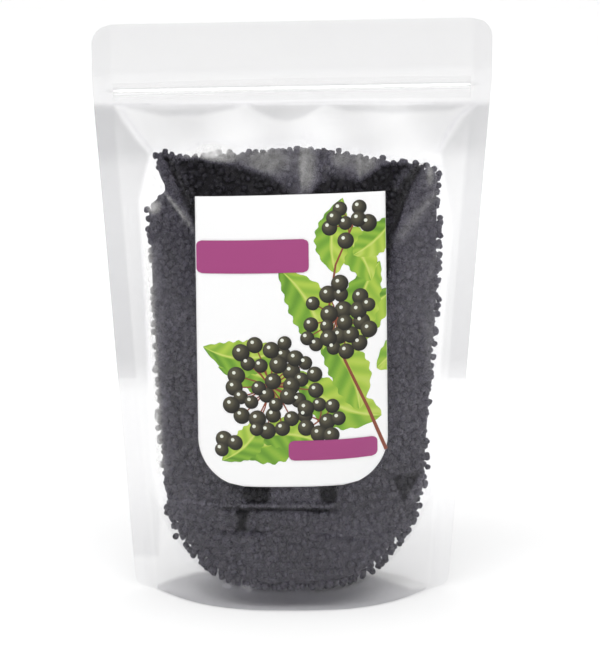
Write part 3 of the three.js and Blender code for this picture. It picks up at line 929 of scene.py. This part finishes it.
OUTLINE_MARGINS = (0.7, 1.1)  # in those radii, from a berry's middle to the fill's outline
MID_FILL = 108  # the berries below this height are pieces of their own
WIDEST_FILL = 110
FLOOR_INSET = 4
CORE_INSET = 2.9
CORE_TURNS = 96
CORE_RINGS = 72
CORE_FLOOR = 0.16  # shares of its rings that lie on the floor and on the top
CORE_LID = 0.08
# The core's left side lies further in: all of it, above the step in the fill's edge, and at it.
LEFT_INSET = 1.6
UPPER_LEFT_INSET = 2.4
STEP_INSET = 4
STEP_HEIGHT = 188
# The line of the berries' top against the front panel
FILL_TOP_X = [-66, -58, -39, -15, 5, 24, 42, 60, 68]
FILL_TOP_Z = [204.5, 205.0, 203.6, 206.6, 207.4, 204.8, 200.8, 197.6, 196.2]
TOP_FALL = 0.17  # the top of the berries falls away towards the back


def dried_fruit_skin():
    """Dried elderberry skin: finely wrinkled, dull with a few shiny ridges, near black with a
    purple or brown cast by the berry, and a little waxy bloom left on it."""
    skin = new_material("dried_elderberry_skin")
    place = add_node(skin, "ShaderNodeTexCoord").outputs["Object"]
    berry = add_node(skin, "ShaderNodeNewGeometry").outputs["Random Per Island"]
    cast = add_node(skin, "ShaderNodeValToRGB", {"Fac": berry})
    stops = cast.color_ramp.elements
    stops[0].color = linear("#100f14")
    stops[1].color = linear("#231d23")
    for position, colour in ((0.3, "#18151d"), (0.6, "#1e1a26"), (0.85, "#15141a")):
        stops.new(position).color = linear(colour)
    wrinkle = add_node(skin, "ShaderNodeTexNoise", {"Vector": place, "Scale": 1 / (0.9 * MM), "Detail": 3})
    bloom = add_node(
        skin, "ShaderNodeMapRange", {"Value": wrinkle.outputs["Fac"], "From Min": 0.52, "From Max": 0.85},
    )
    colour = add_node(
        skin, "ShaderNodeMix", {"Factor": bloom.outputs[0], "A": cast.outputs["Color"]}, data_type="RGBA",
    )
    colour.inputs["B"].default_value = linear("#3a3846")
    bump = add_node(
        skin, "ShaderNodeBump", {"Height": wrinkle.outputs["Fac"], "Strength": 0.7, "Distance": 0.4 * MM},
    )
    surface = add_node(
        skin, "ShaderNodeBsdfPrincipled",
        {"Base Color": colour.outputs["Result"], "Roughness": 0.45, "IOR": 1.45, "Normal": bump.outputs[0]},
    )
    return finish_material(skin, surface.outputs[0])


def fill_top(x, y):
    """Height of the berries' top at a place across and through the pouch."""
    front = np.interp(x, FILL_TOP_X, FILL_TOP_Z)
    return front - TOP_FALL * (y + plain_depth(x, front))


def core_point(ball):
    """Take a point of the unit ball to the surface of the core."""
    ring = math.acos(max(-1, min(1, ball.z))) / math.pi
    turn = math.atan2(ball.y, ball.x)
    t = math.cos(turn)
    floor_share = min((1 - ring) / CORE_FLOOR, 1)
    top_share = min(ring / CORE_LID, 1)
    climb = min(max((1 - CORE_FLOOR - ring) / (1 - CORE_FLOOR - CORE_LID), 0), 1)
    reach = float(fill_edge(WIDEST_FILL)) - CORE_INSET
    low = float(weld_height(t * reach, 20)) + CORE_INSET + GUSSET_CREST * (1 - floor_share)
    high = float(np.interp(t * reach, FILL_TOP_X, FILL_TOP_Z)) - CORE_INSET
    z = low + (high - low) * climb
    pinch = LEFT_INSET + UPPER_LEFT_INSET * float(smooth(STEP_HEIGHT - 7, STEP_HEIGHT - 2, z))
    pinch += STEP_INSET * math.exp(-((z - STEP_HEIGHT) / 5) ** 2)
    narrow = CORE_INSET + pinch * (t < 0)
    x = t * (float(fill_edge(z)) - narrow) * max(floor_share, 0.02) * max(top_share, 0.02)
    depth = max(float(plain_depth(x, z)) - CORE_INSET, 0.4)
    y = math.copysign(depth, ball.y) * abs(math.sin(turn)) ** 0.25 * floor_share * top_share
    z -= TOP_FALL * (y + depth) * climb
    return Vector((x, y, float(leaned(x, z)))) * MM


core_ball = bmesh.new()
bmesh.ops.create_uvsphere(core_ball, u_segments=CORE_TURNS, v_segments=CORE_RINGS, radius=1)
for vert in core_ball.verts:
    vert.co = core_point(vert.co)
bmesh.ops.recalc_face_normals(core_ball, faces=core_ball.faces)
berry_skin = dried_fruit_skin()
add_piece("berry_core", as_mesh("berry_core", core_ball), berry_skin, ["dried_berries"])


def berry_form(number):
    """One shrivelled berry of unit radius, from a ball pulled in along random folds."""
    draw = random.Random(number)
    ball = bmesh.new()
    bmesh.ops.create_icosphere(ball, subdivisions=2, radius=1)
    folds = [Vector([draw.gauss(0, 1) for _ in range(3)]).normalized() for _ in range(BERRY_FOLDS)]
    for vert in ball.verts:
        way = vert.co.normalized()
        near = [(way.dot(fold) - 0.5) / BERRY_FOLD_WIDTH for fold in folds]
        pull = sum(BERRY_FOLD_DEPTH * math.exp(-off ** 2) for off in near)
        vert.co *= 1.08 - pull
        vert.co.z *= 0.9
    return as_mesh("berry_form", ball)


def row_marks(depth_at, shuffle, side):
    """Staggered rows that wander, spaced by the berries' pitch along the panel's surface."""
    line = np.arange(-ROW_REACH, ROW_REACH, 0.25)
    across, up = [], []
    z = SKIRT_HEIGHT + FIRST_ROW
    row = 0
    while z < max(FILL_TOP_Z):
        depth = depth_at(line, np.full(line.shape, z))
        length = np.concatenate(([0], np.cumsum(np.hypot(np.diff(line), np.diff(depth)))))
        first = BERRY_PITCH * (0.5 + 0.5 * (row % 2))
        marks = np.interp(np.arange(first, length[-1], BERRY_PITCH), length, line)
        across.append(marks)
        up.append(np.full(marks.shape, z))
        slope = float(plain_depth(0, z + 0.5) - plain_depth(0, z - 0.5))
        z += BERRY_PITCH * ROW_PITCH / math.hypot(1, slope)
        row += 1
    x, z = np.concatenate(across), np.concatenate(up)
    wander = ROW_WANDER * ripples(x, z, 17, 40 + side)
    return (x + shuffle.normal(0, BERRY_STRAY, x.shape) * BERRY_PITCH + wander,
            z + shuffle.normal(0, BERRY_STRAY, x.shape) * BERRY_PITCH - wander)


def within_fill(x, y, z, shuffle):
    """True where the camera sees a berry inside the outline of the fill."""
    seen_x, seen_y = photo_pixel(x, y, z)
    margin = PHOTO_BERRY_RADIUS * shuffle.uniform(*OUTLINE_MARGINS, np.shape(x))
    return depth_inside(seen_x, seen_y, FILL_OUTLINE) > margin


def wall_spots(depth_at, side, shuffle):
    """Centres and radii of berries that touch the inner face of one panel."""
    x, z = row_marks(depth_at, shuffle, side)
    radius = BERRY_RADIUS * shuffle.uniform(*BERRY_SIZES, x.shape)
    keep = (np.abs(x) < fill_edge(z) + 0.2) & (z > weld_height(x, z) + radius + WELD_CLEARANCE)
    keep &= within_fill(x, side * depth_at(x, z), z, shuffle)
    if side > 0:
        keep &= z < fill_top(x, plain_depth(x, z)) - radius
    x, z, radius = x[keep], z[keep], radius[keep]
    depth = depth_at(x, z)
    slope_x = depth_at(x + 0.5, z) - depth_at(x - 0.5, z)
    slope_z = depth_at(x, z + 0.5) - depth_at(x, z - 0.5)
    inwards = np.column_stack((slope_x, -side * np.ones(x.shape), slope_z))
    inwards /= np.linalg.norm(inwards, axis=1)[:, None]
    centres = np.column_stack((x, side * depth, z)) + inwards * (radius + FILM_CLEARANCE)[:, None]
    centres[:, 1] = side * np.maximum(side * centres[:, 1], 0)
    centres[:, 2] = leaned(centres[:, 0], centres[:, 2])
    return list(zip(centres, radius))


def top_spots(shuffle):
    """Berries on the open top of the fill, in the slot between the panels."""
    spots = []
    for x in np.arange(*TOP_SPAN, BERRY_PITCH * TOP_PITCH):
        half = float(plain_depth(x, np.interp(x, FILL_TOP_X, FILL_TOP_Z))) - BERRY_RADIUS
        for y in np.arange(-half, half + 0.1, BERRY_PITCH) if half > 0 else [0.0]:
            radius = BERRY_RADIUS * shuffle.uniform(*LOOSE_BERRY_SIZES)
            z = float(fill_top(x, y)) - radius - shuffle.uniform(*TOP_DIPS)
            if within_fill(x, y, z, shuffle):
                spots.append(((x + shuffle.normal(0, 0.4), y, float(leaned(x, z))), radius))
    return spots


def floor_spots(shuffle):
    """Berries on the gusset's floor, seen from below through the film."""
    spots = []
    for x in np.arange(-FLOOR_REACH, FLOOR_REACH + 0.1, BERRY_PITCH):
        weld = float(weld_height(x, 15))
        reach = float(plain_depth(x, weld)) - FLOOR_INSET
        for y in np.arange(-reach, reach + 0.1, BERRY_PITCH) if reach > 0 else []:
            radius = BERRY_RADIUS * shuffle.uniform(*LOOSE_BERRY_SIZES)
            crest = GUSSET_CREST * (1 - abs(y) / (reach + FLOOR_INSET))
            z = weld + crest + radius + GUSSET_FOOT
            spots.append(((x + shuffle.normal(0, 0.5), y + shuffle.normal(0, 0.3), z), radius))
    return spots


def berry_mesh(name, spots, draw):
    """Set a turned berry at every spot and join them in one mesh."""
    heap = bmesh.new()
    for centre, radius in spots:
        berry = draw.choice(berry_forms).copy()
        turn = Euler([draw.uniform(0, 2 * math.pi) for _ in range(3)]).to_matrix().to_4x4()
        berry.transform(Matrix.Translation(Vector(centre) * MM) @ turn @ Matrix.Scale(radius * MM, 4))
        heap.from_mesh(berry)
        bpy.data.meshes.remove(berry)
    mesh = as_mesh(name, heap)
    mesh.shade_smooth()
    return mesh


berry_forms = [berry_form(number) for number in range(BERRY_FORMS)]
shuffle = np.random.default_rng(7)
front_spots = wall_spots(front_depth, -1, shuffle)
back_spots = wall_spots(back_depth, 1, shuffle)
heaps = {}
for side, spots in (("front", front_spots), ("back", back_spots)):
    heaps[f"berries_{side}_low"] = [spot for spot in spots if spot[0][2] < MID_FILL]
    heaps[f"berries_{side}_high"] = [spot for spot in spots if spot[0][2] >= MID_FILL]
heaps["berries_top"] = top_spots(shuffle)
heaps["berries_floor"] = floor_spots(shuffle)
berry_draw = random.Random(7)
for name, spots in heaps.items():
    add_piece(name, berry_mesh(name, spots, berry_draw), berry_skin, ["dried_berries"])
for form in berry_forms:
    bpy.data.meshes.remove(form)

# Front label
# A self-adhesive coated paper label, square at the top and wide-cornered at the foot, pressed on
# the film by hand a little askew.
LABEL_LENGTH = 132
LABEL_RISE = 129 / LABEL_LENGTH  # height gained per millimetre along the leaning film
LABEL_FOOT_RADIUS = 20.5
LABEL_TURN = 0.012  # in radians
LABEL_THICKNESS = 0.12
LABEL_LIFT = 0.22  # from the film's outer face to the paper's printed face


def label_surface(a, b, lift):
    """A point of the label: a across from its middle, b up from its foot, lift off the paper."""
    x = a + LABEL_TURN * (LABEL_LENGTH / 2 - b)
    z = LABEL_FOOT + b * LABEL_RISE + LABEL_TURN * a
    return x, -(plain_depth(x, z) + FILM_OUTSIDE + LABEL_LIFT + lift), leaned(x, z)


def coated_paper():
    """Coated label paper: bright white, smooth, with a low even sheen and a faint fibre."""
    paper = new_material("coated_label_paper")
    place = add_node(paper, "ShaderNodeTexCoord").outputs["Object"]
    fibre = add_node(paper, "ShaderNodeTexNoise", {"Vector": place, "Scale": 1 / (1.5 * MM), "Detail": 4})
    bump = add_node(
        paper, "ShaderNodeBump", {"Height": fibre.outputs["Fac"], "Strength": 0.05, "Distance": 0.1 * MM},
    )
    surface = add_node(
        paper, "ShaderNodeBsdfPrincipled",
        {"Base Color": linear("#fefefe"), "Roughness": 0.5, "IOR": 1.5, "Normal": bump.outputs[0]},
    )
    return finish_material(paper, surface.outputs[0])


def place_label(u, v):
    b = LABEL_LENGTH * (v + 1) / 2
    below = np.maximum(0, LABEL_FOOT_RADIUS - b)
    corner = LABEL_FOOT_RADIUS - np.sqrt(LABEL_FOOT_RADIUS ** 2 - below ** 2)
    return label_surface((LABEL_HALF_WIDTH - corner) * u, b, 0)


label_mesh, square = sheet_mesh("label_paper", 60, 110, place_label)
label_paper = add_piece("label_paper", label_mesh, coated_paper(), ["front_label"])
thicken(label_paper, LABEL_THICKNESS)

# Printing on the label
# Offset print on the paper: a leafy spray with round dark fruit, and two plain plum panels. Each
# motif is a sheet of ink that lies a few hundredths of a millimetre over the one below it.
# Places are a across from the label's middle and b up from its foot.
PLUM = "#a5447f"
LEAF_COLOURS = ((0.0, "#d3dd7c"), (0.35, "#b0cb4a"), (0.65, "#7fae35"), (1.0, "#3c761e"))
FRUIT_COLOURS = ((0.0, "#5b5743"), (0.25, "#38352a"), (0.6, "#1e1c16"), (1.0, "#12110d"))
STALK_COLOUR = "#8c4a35"
GLINT_COLOUR = "#e8ebdf"
# Leaves: root, length, width, heading in degrees, bend
LEAVES = [
    (40, 30, 46, 20, 150, 0.10), (30, 34, 40, 18, 118, -0.12), (8, 30, 40, 19, 196, 0.12),
    (2, 40, 38, 17, 158, -0.10), (22, 58, 40, 18, 48, 0.12), (14, 62, 42, 19, 118, -0.10),
    (30, 66, 36, 17, 74, 0.10), (-6, 62, 34, 16, 178, 0.12), (36, 92, 34, 16, 128, -0.12),
    (20, 96, 34, 15, 84, 0.10), (12, 20, 30, 14, 176, -0.10), (38, 52, 30, 15, 22, 0.10),
    (-14, 30, 26, 13, 226, 0.10), (28, 104, 26, 13, 42, -0.08),
]
STEM = [(42, 14), (34, 34), (24, 56), (16, 76), (20, 100), (30, 122)]
# Bunches of fruit: middle, reach, how many
BUNCHES = [
    ((-10, 46), 21, 34), ((20, 76), 16, 22), ((26, 118), 9, 8), ((12, 30), 9, 8), ((-30, 20), 6, 3),
]
FRUIT_RADIUS = 3.6
FRUIT_SPACING = 1.3  # least distance between two fruits, in radii
FRUIT_TRIES = 900
GLINT_RADIUS = 0.8
# Plain panels: left, right, foot, head, corner radius; rows of the mesh
PANELS = [((-LABEL_HALF_WIDTH + 0.3, 8, 97, 112, 2.5), 24), ((-2, 38, 12, 21, 2.5), 20)]
# How far each ink lies over the paper, and how much further each next motif of it
LEAF_LIFT, LEAF_STEP = 0.03, 0.008
STEM_LIFT, STALK_LIFT = 0.135, 0.145
FRUIT_LIFT, FRUIT_STEP = 0.16, 0.003
GLINT_LIFT, PANEL_LIFT = 0.3, 0.33


def printed_ink(name, colours):
    """Offset ink under a clear varnish; the tone painted on the print picks the colour."""
    ink = new_material(name)
    tone = add_node(ink, "ShaderNodeAttribute", attribute_name="tone").outputs["Fac"]
    ramp = add_node(ink, "ShaderNodeValToRGB", {"Fac": tone})
    stops = ramp.color_ramp.elements
    stops[0].color, stops[1].color = linear(colours[0][1]), linear(colours[-1][1])
    for position, colour in colours[1:-1]:
        stops.new(position).color = linear(colour)
    surface = add_node(
        ink, "ShaderNodeBsdfPrincipled",
        {"Base Color": ramp.outputs["Color"], "Roughness": 0.45, "IOR": 1.5},
    )
    return finish_material(ink, surface.outputs[0])


def print_motif(sheet, columns, rows, place, lift):
    """Add one motif; `place` takes the square -1..1 to label places and a tone."""
    tone_layer = sheet.verts.layers.float.get("tone") or sheet.verts.layers.float.new("tone")
    new = bmesh.ops.create_grid(sheet, x_segments=columns, y_segments=rows, size=1)["verts"]
    square = np.array([vert.co[:2] for vert in new])
    a, b, tone = place(square[:, 0], square[:, 1])
    points = np.column_stack(label_surface(a, b, lift)) * MM
    for vert, point, value in zip(new, points, tone):
        vert.co = point
        vert[tone_layer] = value


def leaf(root_a, root_b, length, width, heading, bend):
    """A pointed leaf with a lit half, a shaded half, a pale midrib and a toothed edge."""
    def place(u, v):
        along = (u + 1) / 2
        teeth = 1 + 0.07 * np.abs(v) * np.sin(along * 2 * math.pi * 8)
        swell = np.sin(math.pi * along ** 0.85) ** 0.8 * teeth
        across = v * width / 2 * swell + bend * length * 4 * (along - along ** 2)
        turn = math.radians(heading)
        tone = 0.3 + 0.25 * (v > 0) + 0.25 * along + 0.12 * np.sin(along * 30 + np.abs(v) * 5)
        tone = np.where(np.abs(v) < 0.07, 0.05, tone)
        a = root_a + along * length * math.cos(turn) - across * math.sin(turn)
        b = root_b + along * length * math.sin(turn) + across * math.cos(turn)
        edge = LABEL_HALF_WIDTH - 0.1
        return np.clip(a, -edge, edge), np.clip(b, 0.1, LABEL_LENGTH - 0.1), tone
    return place


def disc(middle_a, middle_b, radius, tones):
    """A round spot, lit from the upper left."""
    def place(u, v):
        a, b = u * np.sqrt(1 - v * v / 2), v * np.sqrt(1 - u * u / 2)
        low, high = tones
        tone = low + (high - low) * (np.hypot(a + 0.25, b - 0.3) / 1.35) ** 2
        return middle_a + radius * a, middle_b + radius * b, tone
    return place


def stroke(points, start_width, end_width):
    """A printed line along a route, tapering from its start to its end."""
    marks = np.linspace(0, 1, len(points))
    route_a, route_b = np.array(points, dtype=float).T

    def place(u, v):
        share = (u + 1) / 2
        a, b = np.interp(share, marks, route_a), np.interp(share, marks, route_b)
        ahead = np.minimum(share + 0.02, 1)
        behind = np.maximum(share - 0.02, 0)
        turn = np.arctan2(
            np.interp(ahead, marks, route_b) - np.interp(behind, marks, route_b),
            np.interp(ahead, marks, route_a) - np.interp(behind, marks, route_a),
        )
        half = (start_width + (end_width - start_width) * share) / 2
        return a - v * half * np.sin(turn), b + v * half * np.cos(turn), 0 * u
    return place


def bar(left, right, foot, head, radius):
    """A plain panel with rounded corners."""
    def place(u, v):
        b = foot + (head - foot) * (v + 1) / 2
        inset = np.minimum(b - foot, head - b)
        cut = radius - np.sqrt(radius ** 2 - np.maximum(0, radius - inset) ** 2)
        middle, half = (left + right) / 2, (right - left) / 2
        return middle + (half - cut) * u, b, 0 * u
    return place


def add_print(name, sheet, ink_name, colours):
    add_piece(name, as_mesh(name, sheet), printed_ink(ink_name, colours))


leaves = bmesh.new()
for number, shape in enumerate(LEAVES):
    print_motif(leaves, 40, 14, leaf(*shape), LEAF_LIFT + LEAF_STEP * number)
add_print("printed_leaves", leaves, "printed_green_ink", LEAF_COLOURS)

stalks = bmesh.new()
fruit = bmesh.new()
glints = bmesh.new()
print_motif(stalks, 40, 1, stroke(STEM, 1.6, 0.7), STEM_LIFT)
fruit_draw = random.Random(11)
for (middle_a, middle_b), reach, count in BUNCHES:
    placed = []
    for _ in range(FRUIT_TRIES):
        turn, share = fruit_draw.uniform(0, 2 * math.pi), math.sqrt(fruit_draw.random())
        a = middle_a + reach * share * math.cos(turn)
        b = middle_b + reach * share * math.sin(turn)
        clear = all(math.dist((a, b), other) > FRUIT_RADIUS * FRUIT_SPACING for other in placed)
        if clear and len(placed) < count and abs(a) < LABEL_HALF_WIDTH - FRUIT_RADIUS * 1.2:
            placed.append((a, b))
    for number, (a, b) in enumerate(placed):
        half_way = ((a + middle_a) / 2 + 0.8, (b + middle_b) / 2)
        route = [(middle_a, middle_b), half_way, (a, b)]
        print_motif(stalks, 8, 1, stroke(route, 0.7, 0.5), STALK_LIFT)
        radius = FRUIT_RADIUS * fruit_draw.uniform(0.85, 1.12)
        print_motif(fruit, 12, 12, disc(a, b, radius, (0.0, 0.85)), FRUIT_LIFT + FRUIT_STEP * number)
        print_motif(glints, 4, 4, disc(a - 1.1, b + 1.3, GLINT_RADIUS, (1, 1)), GLINT_LIFT)
add_print("printed_stalks", stalks, "printed_brown_ink", ((0, STALK_COLOUR), (1, STALK_COLOUR)))
add_print("printed_fruit", fruit, "printed_dark_ink", FRUIT_COLOURS)
add_print("printed_glints", glints, "printed_pale_ink", ((0, GLINT_COLOUR), (1, GLINT_COLOUR)))

panels = bmesh.new()
for sides, rows in PANELS:
    print_motif(panels, 40, rows, bar(*sides), PANEL_LIFT)
add_print("printed_panels", panels, "printed_plum_ink", ((0, PLUM), (1, PLUM)))
